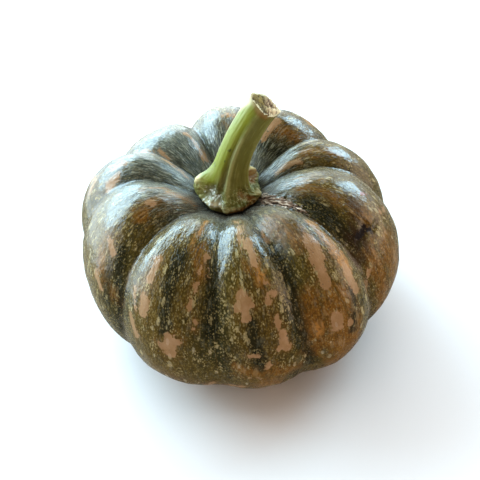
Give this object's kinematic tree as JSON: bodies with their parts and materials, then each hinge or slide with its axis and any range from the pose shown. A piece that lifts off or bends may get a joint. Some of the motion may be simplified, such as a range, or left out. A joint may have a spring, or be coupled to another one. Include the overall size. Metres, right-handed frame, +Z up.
{
  "type": "kabocha squash",
  "caption": "Whole ribbed kabocha squash with mottled dark green and tan skin and a short curved stem, standing on the flattened undersides of its lobes.",
  "frame": {"origin": "middle of the ground that the fruit covers, at the height it rests on", "axes": "+Z up along the fruit's core towards the stem, -Y towards the side the picture shows, +X to that side's right, where the stem leans"},
  "size_m": [0.1884, 0.1878, 0.1429],
  "materials": {
    "skin": "waxy glossy rind, dark green mottled with brown, tan and orange, finely bumpy",
    "stem_bark": "fresh lime to olive green ribs, dry fibrous straw-coloured cut"
  },
  "bodies": {
    "root": {"fruit": "skin", "stem": "stem_bark"}
  },
  "joints": []
}
